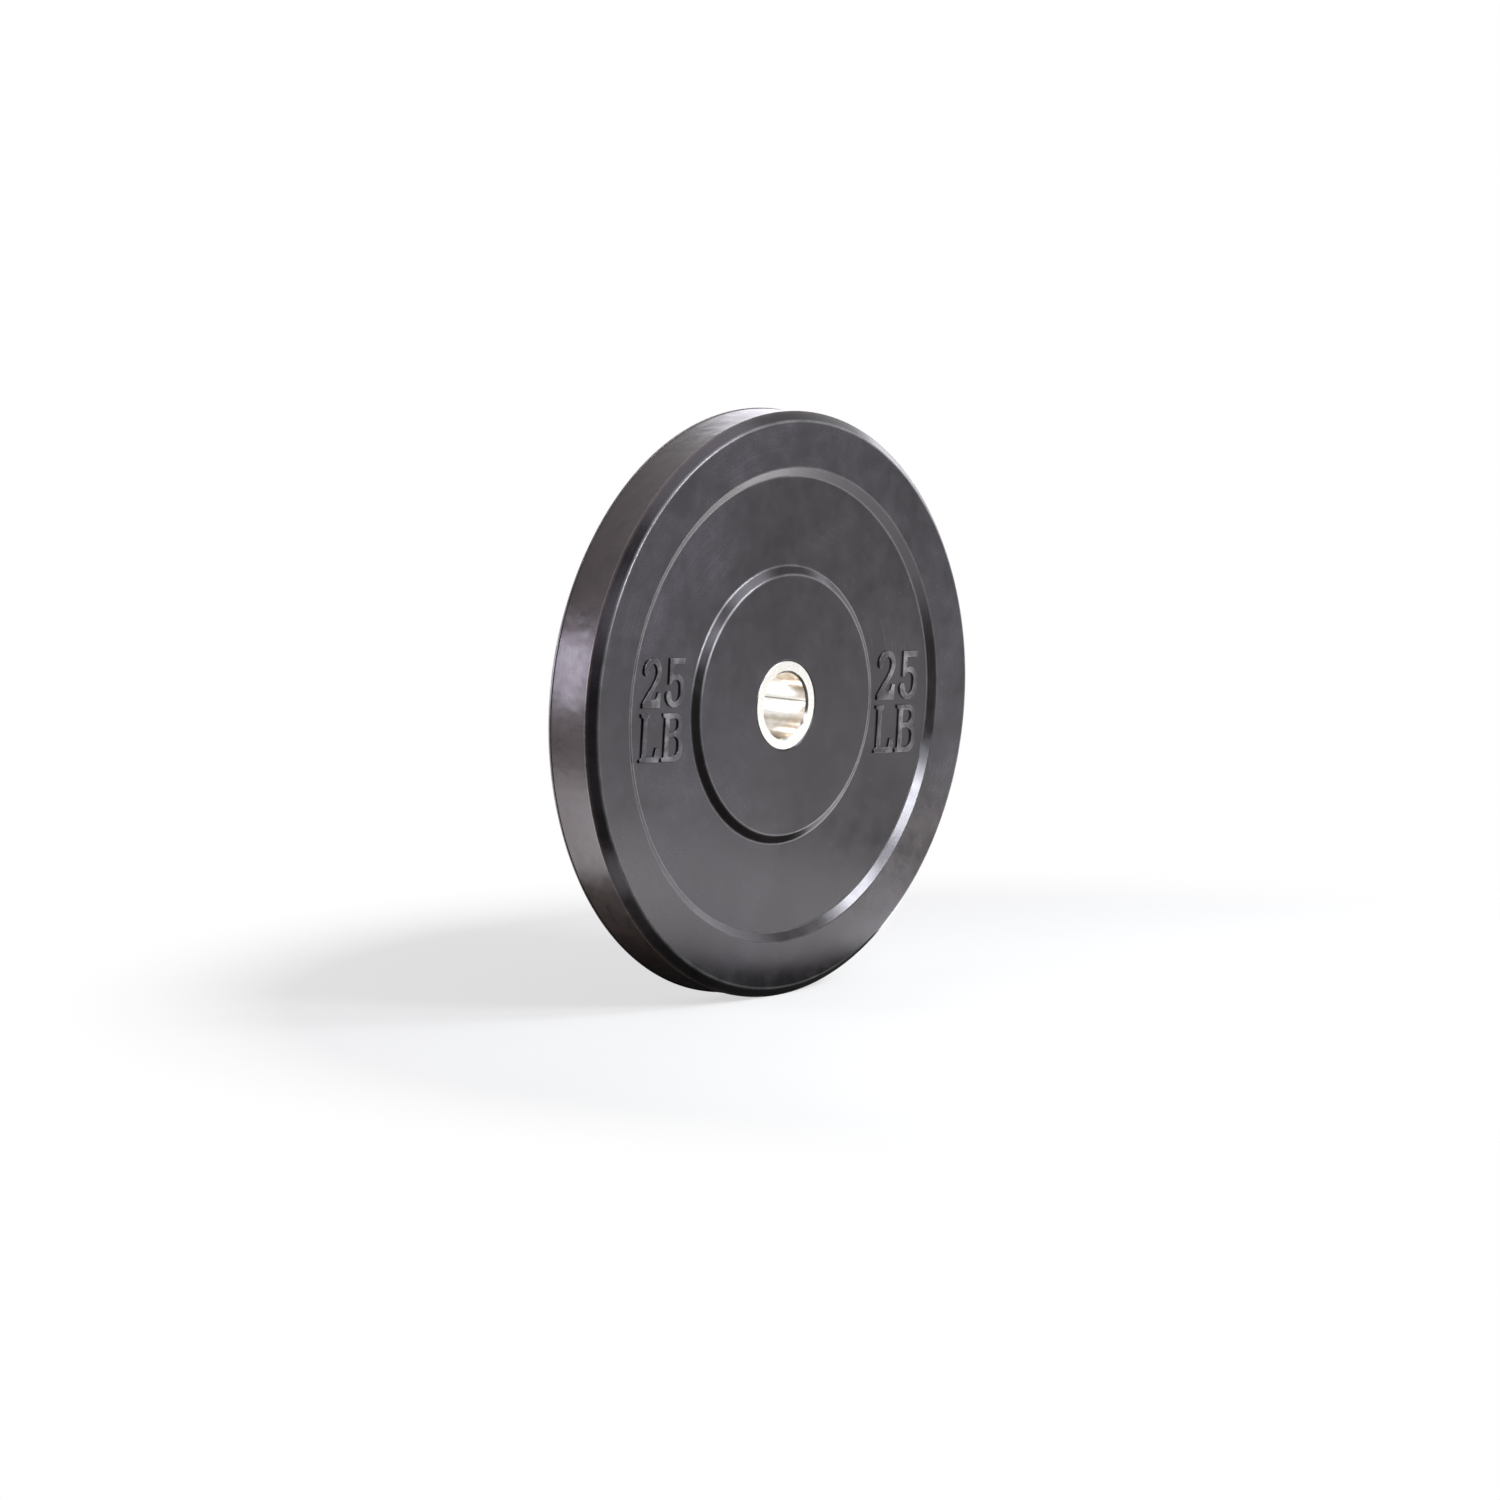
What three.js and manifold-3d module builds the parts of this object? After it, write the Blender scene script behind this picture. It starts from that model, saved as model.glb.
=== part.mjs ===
// Rubber bumper plate with a moulded-in steel insert.
// Millimetres, +Z up. The plate stands on its edge: its axis lies along Y, its front faces -Y,
// and the origin is on the axis, halfway through the thickness.

import * as THREE from 'three';
import { mergeVertices } from 'three/addons/utils/BufferGeometryUtils.js';
import Module from 'manifold-3d';

const wasm = await Module();
wasm.setup();

// Plate
const plateDiameter = 450;
const plateWidth = 50;         // across the rim faces, which are level with the hub faces
const treadWidth = 35.6;       // rolling band, over its two lips
const lipWidth = 1.2;          // mould lip along each edge of the tread
const lipHeight = 0.6;
const outerBevelReach = 7.4;   // radial, from the tread to the rim face
const rimFaceWidth = 35.4;
const innerBevelReach = 7;     // radial, from the rim face down to the web
const recessDepth = 4.5;       // web below the rim face, on each side
const hubFaceDiameter = 200;
const hubBevelReach = 6.8;     // radial, from the hub face down to the web
const edgeRounding = 1.4;      // crests of the rim and the hub
const rootRounding = 2.2;      // where the web meets the bevels
const mouthRounding = 0.8;     // rubber around the sleeve

// Steel insert
const barBore = 50.4;          // runs on a 50 mm bar sleeve
const sleeveWall = 9;
const mouthChamfer = 1.6;      // lead-in for the bar, at both ends of the bore
const sleeveEdgeChamfer = 0.5;
const anchorDiameter = 116;
const anchorThickness = 5;
const keyHoleCount = 8;        // rubber runs through these and locks the insert
const keyHoleMargin = 3.75;    // steel left between a hole and the ring's edge, or the weld
const weldLeg = 4;
const weldCrown = 0.4;         // how far the bead's face swells past a straight fillet

// Fits and facets
const bondGap = 0.3;           // bond line between the rubber and the steel, and the slip fit
const overrun = 2;             // how far a joining or cutting shape runs past the surface
const roundSegments = 80;      // a multiple of four, so that a flat faces down, up and sideways
const keySides = 16;
const roundingSteps = 2;

// Sizes that follow
const plateRadius = plateDiameter / 2;
const halfWidth = plateWidth / 2;
const halfTread = treadWidth / 2;
const treadRadius = plateRadius - lipHeight;
const rimOuterRadius = plateRadius - outerBevelReach;
const rimInnerRadius = rimOuterRadius - rimFaceWidth;
const webOuterRadius = rimInnerRadius - innerBevelReach;
const webHalf = halfWidth - recessDepth;
const hubFaceRadius = hubFaceDiameter / 2;
const hubRootRadius = hubFaceRadius + hubBevelReach;
const boreRadius = barBore / 2;
const sleeveRadius = boreRadius + sleeveWall;
const seatRadius = sleeveRadius + bondGap;
const anchorRadius = anchorDiameter / 2;
const anchorHalf = anchorThickness / 2;
const slotHalf = anchorHalf + bondGap;
const slotRadius = anchorRadius + bondGap;
const weldRoom = weldLeg + 2 * weldCrown + Math.SQRT2 * bondGap;
const keyCircleRadius = (seatRadius + weldLeg + anchorRadius) / 2;
const keyHoleRadius = anchorRadius - keyHoleMargin - keyCircleRadius;

const materials = {
    rubber: { color: 0x4f4c50, roughness: 0.55, metalness: 0 },
    stainless: { color: 0xe4e2dc, roughness: 0.22, metalness: 1 },
    mildSteel: { color: 0x77746e, roughness: 0.5, metalness: 1 },
    weldMetal: { color: 0x5f5a55, roughness: 0.62, metalness: 1 },
};

function corner(radius, y, rounding = 0) {
    return { at: new THREE.Vector2(radius, y), rounding };
}

// The same corners on the other side of the plate, in the opposite order
function mirrored(corners) {
    return corners.map(({ at, rounding }) => corner(at.x, -at.y, rounding)).reverse();
}

// Points of one rounded corner: an arc that touches both of its edges
function roundedCorner(before, here, after) {
    if (here.rounding === 0) return [here.at.clone()];
    const toBefore = before.at.clone().sub(here.at).normalize();
    const toAfter = after.at.clone().sub(here.at).normalize();
    const halfAngle = Math.acos(THREE.MathUtils.clamp(toBefore.dot(toAfter), -1, 1)) / 2;
    const centre = toBefore.clone().add(toAfter).normalize();
    centre.multiplyScalar(here.rounding / Math.sin(halfAngle)).add(here.at);
    const reach = here.rounding / Math.tan(halfAngle);
    const start = toBefore.multiplyScalar(reach).add(here.at).sub(centre);
    const end = toAfter.multiplyScalar(reach).add(here.at).sub(centre);
    const turn = Math.atan2(start.cross(end), start.dot(end));
    const origin = new THREE.Vector2();
    const points = [];
    for (let step = 0; step <= roundingSteps; step += 1) {
        const swing = turn * step / roundingSteps;
        points.push(start.clone().rotateAround(origin, swing).add(centre));
    }
    return points;
}

// Solid of revolution about Y. The corners run anticlockwise in the (radius, y) plane.
function revolved(corners) {
    const count = corners.length;
    const points = corners.flatMap((here, i) =>
        roundedCorner(corners[(i + count - 1) % count], here, corners[(i + 1) % count]));
    points.push(points[0].clone());
    const firstAngle = -Math.PI / roundSegments;
    const lathe = new THREE.LatheGeometry(points, roundSegments, firstAngle, 2 * Math.PI);
    return welded(lathe);
}

function welded(geometry) {
    geometry.deleteAttribute('normal');
    geometry.deleteAttribute('uv');
    return mergeVertices(geometry);
}

function solidFrom(geometry) {
    const mesh = new wasm.Mesh({
        numProp: 3,
        vertProperties: new Float32Array(geometry.attributes.position.array),
        triVerts: new Uint32Array(geometry.index.array),
    });
    return new wasm.Manifold(mesh);
}

function geometryFrom(solid) {
    const { vertProperties, triVerts } = solid.getMesh();
    const geometry = new THREE.BufferGeometry();
    geometry.setAttribute('position', new THREE.BufferAttribute(vertProperties, 3));
    geometry.setIndex(new THREE.BufferAttribute(triVerts, 1));
    return geometry;
}

// One round bar per key hole, lying along Y on the key circle
function keyBars(radius, length) {
    const bars = [];
    for (let i = 0; i < keyHoleCount; i += 1) {
        const angle = 2 * Math.PI * i / keyHoleCount;
        const bar = new THREE.CylinderGeometry(radius, radius, length, keySides);
        bar.translate(keyCircleRadius * Math.sin(angle), 0, keyCircleRadius * Math.cos(angle));
        bars.push(solidFrom(welded(bar)));
    }
    return bars;
}

// Dished disc with bevelled rim and hub, moulded around the insert
function rubberBody() {
    const backFace = [
        corner(plateRadius, halfTread),
        corner(rimOuterRadius, halfWidth, edgeRounding),
        corner(rimInnerRadius, halfWidth, edgeRounding),
        corner(webOuterRadius, webHalf, rootRounding),
        corner(hubRootRadius, webHalf, rootRounding),
        corner(hubFaceRadius, halfWidth, edgeRounding),
        corner(seatRadius, halfWidth, mouthRounding),
    ];
    const backTread = [
        corner(treadRadius, halfTread - lipWidth),
        corner(plateRadius, halfTread - lipWidth),
    ];
    const backCavity = [
        corner(seatRadius, slotHalf + weldRoom),
        corner(seatRadius + weldRoom, slotHalf),
        corner(slotRadius, slotHalf),
    ];
    const disc = solidFrom(revolved([
        ...mirrored(backTread),
        ...backTread,
        ...backFace,
        ...backCavity,
        ...mirrored(backCavity),
        ...mirrored(backFace),
    ]));
    const keys = keyBars(keyHoleRadius - bondGap, 2 * (slotHalf + overrun));
    return geometryFrom(keys.reduce((body, key) => body.add(key), disc));
}

// Thick bush, level with the hub faces, with a lead-in chamfer at both mouths
function hubSleeve() {
    const backEnd = [
        corner(sleeveRadius, halfWidth - sleeveEdgeChamfer),
        corner(sleeveRadius - sleeveEdgeChamfer, halfWidth),
        corner(boreRadius + mouthChamfer, halfWidth),
        corner(boreRadius, halfWidth - mouthChamfer),
    ];
    return revolved([...backEnd, ...mirrored(backEnd)]);
}

// Flat ring around the middle of the sleeve, with the holes that the rubber keys through
function anchorDisc() {
    const backFace = [corner(anchorRadius, anchorHalf), corner(seatRadius, anchorHalf)];
    const ring = solidFrom(revolved([...backFace, ...mirrored(backFace)]));
    const holes = keyBars(keyHoleRadius, 2 * (anchorHalf + overrun));
    return geometryFrom(holes.reduce((disc, hole) => disc.subtract(hole), ring));
}

// Fillet weld in the corner between the sleeve and one face of the anchor disc
function weldBead(side) {
    const crown = weldLeg / 2 + weldCrown;
    const back = [
        corner(seatRadius, slotHalf),
        corner(seatRadius + weldLeg, slotHalf),
        corner(seatRadius + crown, slotHalf + crown),
        corner(seatRadius, slotHalf + weldLeg),
    ];
    return revolved(side === 'back' ? back : mirrored(back));
}

function piece(name, geometry, look) {
    geometry.computeVertexNormals();
    const material = new THREE.MeshStandardMaterial({ ...look, flatShading: true });
    const mesh = new THREE.Mesh(geometry, material);
    mesh.name = name;
    return mesh;
}

const insert = new THREE.Group();
insert.add(piece('hub_sleeve', hubSleeve(), materials.stainless));
insert.add(piece('anchor_disc', anchorDisc(), materials.mildSteel));
insert.add(piece('weld_bead_front', weldBead('front'), materials.weldMetal));
insert.add(piece('weld_bead_back', weldBead('back'), materials.weldMetal));

const bumperPlate = new THREE.Group();
bumperPlate.add(piece('rubber_body', rubberBody(), materials.rubber));
bumperPlate.add(insert);

export default bumperPlate;
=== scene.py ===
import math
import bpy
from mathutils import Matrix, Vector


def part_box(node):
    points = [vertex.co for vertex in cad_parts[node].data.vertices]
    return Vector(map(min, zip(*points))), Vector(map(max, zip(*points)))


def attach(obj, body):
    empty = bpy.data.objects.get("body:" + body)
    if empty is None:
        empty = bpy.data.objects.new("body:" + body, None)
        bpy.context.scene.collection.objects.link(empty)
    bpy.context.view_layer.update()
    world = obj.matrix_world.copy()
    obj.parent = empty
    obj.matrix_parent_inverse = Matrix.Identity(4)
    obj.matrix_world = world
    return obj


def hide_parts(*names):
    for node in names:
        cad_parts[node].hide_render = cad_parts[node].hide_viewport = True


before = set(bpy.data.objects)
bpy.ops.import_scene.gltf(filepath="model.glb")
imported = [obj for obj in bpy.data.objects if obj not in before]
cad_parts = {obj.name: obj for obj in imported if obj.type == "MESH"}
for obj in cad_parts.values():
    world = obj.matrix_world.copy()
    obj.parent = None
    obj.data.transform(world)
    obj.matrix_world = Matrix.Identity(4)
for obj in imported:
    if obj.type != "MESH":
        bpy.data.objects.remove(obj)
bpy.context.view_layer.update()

# A rubber bumper plate standing on its edge: moulded rubber round a welded steel insert.
# The plate's axis lies along Y and its front faces -Y. Sizes in the dictionaries are
# millimetres and degrees; they turn to metres and radians where they go into Blender.

mm = 0.001
discLow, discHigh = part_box("rubber_body")
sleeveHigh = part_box("hub_sleeve")[1]
print("frame loaded:", ", ".join(sorted(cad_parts)))


def linearFromHex(text):
    # sRGB hex to the linear colour that the shaders work in
    channels = [int(text[i:i + 2], 16) / 255 for i in (1, 3, 5)]
    linear = [c / 12.92 if c <= 0.04045 else ((c + 0.055) / 1.055) ** 2.4 for c in channels]
    return (*linear, 1.0)


def addNode(tree, kind, inputs=None, **settings):
    # one node with its settings; an input is named by its label, or by its number among the
    # shown ones, and takes a value, a socket, or a node, whose first shown output is linked
    node = tree.nodes.new(kind)
    for name, value in settings.items():
        setattr(node, name, value)
    shown = [socket for socket in node.inputs if socket.enabled]
    for key, value in (inputs or {}).items():
        socket = shown[key] if isinstance(key, int) else node.inputs[key]
        if isinstance(value, bpy.types.Node):
            value = output(value)
        if isinstance(value, bpy.types.NodeSocket):
            tree.links.new(value, socket)
        else:
            socket.default_value = value
    return node


def output(node, name=None):
    # the shown output of that name, or the first one shown
    return next(socket for socket in node.outputs if socket.enabled and name in (None, socket.name))


def limits(low, high, start=0.0, end=1.0):
    # inputs of a map range: the values between which it runs, and what it gives there
    return {"From Min": low, "From Max": high, "To Min": start, "To Max": end}


# Sections of revolution, in Geometry Nodes
clearance = 0.001                 # keeps rounding errors inside the bodies' own box
disc = {
    "outerRadius": discHigh.x / mm - clearance,
    "treadRadius": discHigh.x / mm - 0.6,         # the mould lips stand proud of it
    "rimOuterRadius": 217.6,
    "rimInnerRadius": 182.2,
    "webOuterRadius": 175.2,
    "hubRootRadius": 106.8,
    "hubFaceRadius": 100.0,
    "seatRadius": sleeveHigh.x / mm + 0.35,
    "weldRoomRadius": 39.8,
    "slotRadius": 58.3,
    "faceHeight": discHigh.y / mm - clearance,
    "webHeight": 20.5,
    "lipHeight": 17.8,
    "lipInnerHeight": 16.6,
    "weldRoomHeight": 8.1,
    "slotHeight": 2.8,
    "crestRounding": 2.3,
    "rootRounding": 3.0,
    "mouthRounding": 0.8,
    "lipRounding": 0.2,
    "keyCircleRadius": 48.25,     # of the posts that run through the insert's holes
    "keyPostRadius": 5.7,
}

# Corners on the back half, from the tread inwards: radius, distance from mid-plane, rounding
discCorners = (
    ("treadRadius", "lipInnerHeight", "lipRounding"),
    ("outerRadius", "lipInnerHeight", "lipRounding"),
    ("outerRadius", "lipHeight", "lipRounding"),
    ("rimOuterRadius", "faceHeight", "crestRounding"),
    ("rimInnerRadius", "faceHeight", "crestRounding"),
    ("webOuterRadius", "webHeight", "rootRounding"),
    ("hubRootRadius", "webHeight", "rootRounding"),
    ("hubFaceRadius", "faceHeight", "crestRounding"),
    ("seatRadius", "faceHeight", "mouthRounding"),
    ("seatRadius", "weldRoomHeight", None),
    ("weldRoomRadius", "slotHeight", None),
    ("slotRadius", "slotHeight", None),
)

sleeve = {
    "outerRadius": sleeveHigh.x / mm,
    "edgeRadius": sleeveHigh.x / mm - 0.5,
    "mouthRadius": 26.8,
    "boreRadius": 25.2,
    "endHeight": sleeveHigh.y / mm - clearance,
    "edgeHeight": sleeveHigh.y / mm - 0.5,
    "mouthHeight": sleeveHigh.y / mm - 1.6,
    "edgeRounding": 0.15,
}

sleeveCorners = (
    ("outerRadius", "edgeHeight", "edgeRounding"),
    ("edgeRadius", "endHeight", "edgeRounding"),
    ("mouthRadius", "endHeight", "edgeRounding"),
    ("boreRadius", "mouthHeight", "edgeRounding"),
)

lathe = {
    "turnSegments": 256,
    "roundingSteps": 6,
    "creaseAngle": 35,            # steeper edges stay crisp
    "flatCosine": 0.9999,         # faces turned nearer to the axis than this shade flat
    "pathRadius": 1.0,            # of the circle that the section is swept round
}

layDown = (math.radians(90), 0, 0)          # turns what was built along Z to lie along Y


def namedInputs(tree, sizes):
    # one input for each size, and one for the finish
    for name in sizes:
        tree.interface.new_socket(name, in_out="INPUT", socket_type="NodeSocketFloat")
    tree.interface.new_socket("finish", in_out="INPUT", socket_type="NodeSocketMaterial")
    tree.interface.new_socket("Geometry", in_out="OUTPUT", socket_type="NodeSocketGeometry")
    return addNode(tree, "NodeGroupInput").outputs


def sweptSection(tree, sizes, corners):
    # the corners and their mirror image as one closed line, rounded and swept round Y
    below = {}
    for height in sorted({corner[1] for corner in corners}):
        flipped = addNode(tree, "ShaderNodeMath", {0: sizes[height], 1: -1.0},
                          operation="MULTIPLY")
        below[height] = output(flipped)
    ring = [(radius, sizes[height], rounding) for radius, height, rounding in corners]
    ring += [(radius, below[height], rounding) for radius, height, rounding in corners[::-1]]

    index = output(addNode(tree, "GeometryNodeInputIndex"))
    places = addNode(tree, "GeometryNodeIndexSwitch", data_type="VECTOR")
    roundings = addNode(tree, "GeometryNodeIndexSwitch", data_type="FLOAT")
    for switch in (places, roundings):
        while len(switch.index_switch_items) < len(ring):
            switch.index_switch_items.new()
        tree.links.new(index, switch.inputs["Index"])
    for i, (radius, height, rounding) in enumerate(ring):
        place = addNode(tree, "ShaderNodeCombineXYZ", {"X": sizes[radius], "Y": height})
        tree.links.new(output(place), places.inputs[i + 1])
        if rounding:
            tree.links.new(sizes[rounding], roundings.inputs[i + 1])

    pathRadius = lathe["pathRadius"] * mm
    line = addNode(tree, "GeometryNodeCurvePrimitiveLine")
    dots = addNode(tree, "GeometryNodeResampleCurve", {"Curve": line, "Count": len(ring)},
                   mode="COUNT")
    placed = addNode(tree, "GeometryNodeSetPosition",
                     {"Geometry": dots, "Position": places, "Offset": (-pathRadius, 0, 0)})
    closed = addNode(tree, "GeometryNodeSetSplineCyclic", {"Geometry": placed, "Cyclic": True})
    rounded = addNode(tree, "GeometryNodeFilletCurve",
                      {"Curve": closed, "Count": lathe["roundingSteps"], "Radius": roundings,
                       "Limit Radius": True}, mode="POLY")
    path = addNode(tree, "GeometryNodeCurvePrimitiveCircle",
                   {"Resolution": lathe["turnSegments"], "Radius": pathRadius}, mode="RADIUS")
    swept = addNode(tree, "GeometryNodeCurveToMesh", {"Curve": path, "Profile Curve": rounded})
    return addNode(tree, "GeometryNodeTransform", {"Geometry": swept, "Rotation": layDown})


def shadedAndFinished(tree, shape, finish):
    # flat faces stay flat, roundings shade smoothly, and steep edges stay crisp
    normal = addNode(tree, "GeometryNodeInputNormal")
    along = output(addNode(tree, "ShaderNodeSeparateXYZ", {0: normal}), "Y")
    steepness = addNode(tree, "ShaderNodeMath", {0: along}, operation="ABSOLUTE")
    curved = addNode(tree, "FunctionNodeCompare", {"A": steepness, "B": lathe["flatCosine"]},
                     operation="LESS_THAN")
    faces = addNode(tree, "GeometryNodeSetShadeSmooth",
                    {"Geometry": shape, "Shade Smooth": curved}, domain="FACE")
    angle = output(addNode(tree, "GeometryNodeInputMeshEdgeAngle"), "Unsigned Angle")
    crease = addNode(tree, "FunctionNodeCompare",
                     {"A": angle, "B": math.radians(lathe["creaseAngle"])},
                     operation="LESS_THAN")
    edges = addNode(tree, "GeometryNodeSetShadeSmooth",
                    {"Geometry": faces, "Shade Smooth": crease}, domain="EDGE")
    whole = addNode(tree, "GeometryNodeRealizeInstances", {"Geometry": edges})
    painted = addNode(tree, "GeometryNodeSetMaterial", {"Geometry": whole, "Material": finish})
    addNode(tree, "NodeGroupOutput", {"Geometry": painted})


def pieceFromNodes(name, tree, sizes, finish):
    # a mesh piece from the node tree, with its sizes set on the modifier's inputs
    base = bpy.data.objects.new(name + "Base", bpy.data.meshes.new(name + "Base"))
    bpy.context.scene.collection.objects.link(base)
    modifier = base.modifiers.new("shape", "NODES")
    modifier.node_group = tree
    identifiers = {item.name: item.identifier for item in tree.interface.items_tree
                   if item.in_out == "INPUT"}
    for size, value in sizes.items():
        modifier[identifiers[size]] = value * mm
    modifier[identifiers["finish"]] = finish
    evaluated = base.evaluated_get(bpy.context.evaluated_depsgraph_get())
    mesh = bpy.data.meshes.new_from_object(evaluated)
    mesh.name = name
    base.modifiers.clear()
    bpy.data.objects.remove(base)
    if not mesh.polygons:
        raise RuntimeError(name + " came out empty: a rounding or a size doesn't fit")
    piece = bpy.data.objects.new(name, mesh)
    bpy.context.scene.collection.objects.link(piece)
    print(name, "has", len(mesh.polygons), "faces")
    return piece


# Weight marks, raised from the web: a number over its unit
marks = {
    "relief": 1.4,
    "embed": 1.9,                 # how far each mark reaches into the web, so that it joins
    "edgeRounding": 0.62,         # much more and the serifs close up on themselves
    "edgeSteps": 3,
    "curveSteps": 6,
    "sealDistance": 0.005,        # closes the seams between a mark's top, sides and rounding
    "leftOffset": -140.5,         # middle of the left block from the plate's axis
    "rightOffset": 137.5,
    "turn": 4.6,                  # the plate has rolled this far clockwise, seen from the front
}

# Outlines round the middle of a block: across, up, and whether the line runs on smoothly
markOutlines = {
    "two": [[
        (-23.7, 30.0, 1), (-21.0, 36.0, 1), (-13.5, 39.2, 1), (-6.0, 36.0, 1),
        (-3.3, 29.5, 1), (-4.8, 23.0, 1), (-9.5, 16.5, 1), (-16.0, 8.6, 0),
        (-10.5, 7.4, 1), (-7.8, 8.6, 0), (-6.1, 13.0, 0), (-2.9, 13.0, 0),
        (-3.7, 1.0, 0), (-24.1, 1.0, 0), (-24.1, 4.8, 0), (-18.0, 12.5, 1),
        (-11.7, 20.0, 1), (-8.7, 26.0, 1), (-9.1, 31.5, 1), (-13.5, 34.6, 1),
        (-17.7, 31.8, 1), (-18.5, 27.5, 1), (-20.7, 25.4, 1), (-23.1, 26.8, 1),
    ]],
    "five": [[
        (5.9, 38.6, 0), (23.9, 38.6, 0), (23.1, 33.8, 0), (10.9, 33.8, 0),
        (10.9, 25.4, 0), (15.0, 26.4, 1), (21.5, 23.0, 1), (24.2, 14.0, 1),
        (21.9, 5.5, 1), (14.0, 1.0, 1), (6.7, 3.2, 1), (3.1, 9.0, 1),
        (4.5, 13.0, 1), (7.5, 13.6, 1), (9.3, 10.6, 1), (10.2, 7.2, 1),
        (13.7, 5.4, 1), (17.9, 7.8, 1), (19.0, 14.0, 1), (17.7, 20.0, 1),
        (13.5, 22.0, 1), (9.6, 20.8, 1), (8.3, 18.4, 0), (5.9, 18.4, 0),
    ]],
    "letterL": [[
        (-24.5, -3.2, 0), (-14.9, -3.2, 0), (-14.9, -5.8, 0), (-16.9, -7.2, 0),
        (-16.9, -35.6, 0), (-7.5, -35.6, 0), (-5.7, -29.0, 0), (-1.9, -29.0, 0),
        (-2.3, -40.2, 0), (-24.5, -40.2, 0), (-24.5, -37.6, 0), (-21.9, -36.2, 0),
        (-21.9, -7.2, 0), (-24.5, -5.8, 0),
    ]],
    "letterB": [[
        (1.1, -3.2, 0), (16.0, -3.2, 0), (21.9, -6.0, 1), (23.5, -11.6, 1),
        (22.1, -16.8, 1), (19.9, -19.4, 0), (23.7, -23.4, 1), (25.1, -29.4, 1),
        (23.3, -36.2, 1), (17.0, -40.2, 0), (1.1, -40.2, 0), (1.1, -37.6, 0),
        (3.7, -36.2, 0), (3.7, -7.2, 0), (1.1, -5.8, 0),
    ], [
        (8.9, -7.4, 0), (15.3, -7.4, 0), (18.1, -9.0, 1), (18.7, -12.2, 1),
        (17.7, -15.6, 1), (14.9, -17.2, 0), (8.9, -17.2, 0),
    ], [
        (8.9, -21.2, 0), (15.1, -21.2, 0), (18.9, -23.6, 1), (19.9, -28.8, 1),
        (18.7, -34.0, 1), (15.3, -36.0, 0), (8.9, -36.0, 0),
    ]],
}


def markBlock():
    # the block as a closed mesh, lying in the XY plane with half its height above it
    curve = bpy.data.curves.new("markOutline", "CURVE")
    curve.dimensions = "2D"
    curve.fill_mode = "BOTH"
    curve.resolution_u = marks["curveSteps"]
    rounding = marks["edgeRounding"] * mm
    curve.bevel_depth = rounding
    curve.bevel_resolution = marks["edgeSteps"]
    curve.offset = -rounding
    curve.extrude = (marks["relief"] + marks["embed"]) / 2 * mm - rounding
    for outlines in markOutlines.values():
        for outline in outlines:
            spline = curve.splines.new("BEZIER")
            spline.bezier_points.add(len(outline) - 1)
            spline.use_cyclic_u = True
            for point, (across, up, smooth) in zip(spline.bezier_points, outline):
                point.co = (across * mm, up * mm, 0)
                point.handle_left_type = "AUTO" if smooth else "VECTOR"
                point.handle_right_type = point.handle_left_type
    holder = bpy.data.objects.new("markBlock", curve)
    bpy.context.scene.collection.objects.link(holder)
    evaluated = holder.evaluated_get(bpy.context.evaluated_depsgraph_get())
    mesh = bpy.data.meshes.new_from_object(evaluated)
    bpy.data.objects.remove(holder)
    block = bpy.data.objects.new("markBlock", mesh)
    bpy.context.scene.collection.objects.link(block)
    return block


keyPosts = {
    "count": 8,
    "sides": 32,
    "length": 9,                  # through the insert's hole and into the rubber beyond
}


def discTree(block):
    # the swept disc, with posts through the insert's holes and the marks on both faces
    tree = bpy.data.node_groups.new("mouldedDisc", "GeometryNodeTree")
    sizes = namedInputs(tree, disc)
    body = sweptSection(tree, sizes, discCorners)

    holes = addNode(tree, "GeometryNodeMeshCircle",
                    {"Vertices": keyPosts["count"], "Radius": sizes["keyCircleRadius"]})
    post = addNode(tree, "GeometryNodeMeshCylinder",
                   {"Vertices": keyPosts["sides"], "Radius": sizes["keyPostRadius"],
                    "Depth": keyPosts["length"] * mm})
    posts = addNode(tree, "GeometryNodeInstanceOnPoints", {"Points": holes, "Instance": post})
    lyingPosts = addNode(tree, "GeometryNodeTransform", {"Geometry": posts, "Rotation": layDown})

    source = addNode(tree, "GeometryNodeObjectInfo", {"Object": block})
    sealed = addNode(tree, "GeometryNodeMergeByDistance",
                     {"Geometry": output(source, "Geometry"),
                      "Distance": marks["sealDistance"] * mm})
    height = disc["webHeight"] + (marks["relief"] - marks["embed"]) / 2
    raised = addNode(tree, "GeometryNodeJoinGeometry")
    for offset in (marks["leftOffset"], marks["rightOffset"]):
        for spin in (0, 180):
            upright = addNode(tree, "GeometryNodeTransform",
                              {"Geometry": sealed, "Rotation": layDown,
                               "Translation": (offset * mm, -height * mm, 0)})
            faced = addNode(tree, "GeometryNodeTransform",
                            {"Geometry": upright, "Rotation": (0, 0, math.radians(spin))})
            tree.links.new(output(faced), raised.inputs[0])
    rolled = addNode(tree, "GeometryNodeTransform",
                     {"Geometry": raised, "Rotation": (0, math.radians(marks["turn"]), 0)})

    additions = addNode(tree, "GeometryNodeJoinGeometry")
    for addition in (lyingPosts, rolled):
        tree.links.new(output(addition), additions.inputs[0])
    loose = addNode(tree, "GeometryNodeRealizeInstances", {"Geometry": additions})
    union = addNode(tree, "GeometryNodeMeshBoolean", operation="UNION", solver="MANIFOLD")
    for solid in (body, loose):
        tree.links.new(output(solid), union.inputs["Mesh 2"])
    shadedAndFinished(tree, union, sizes["finish"])
    return tree


def sleeveTree():
    tree = bpy.data.node_groups.new("turnedSleeve", "GeometryNodeTree")
    sizes = namedInputs(tree, sleeve)
    shadedAndFinished(tree, sweptSection(tree, sizes, sleeveCorners), sizes["finish"])
    return tree


print("shapes described")


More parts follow.
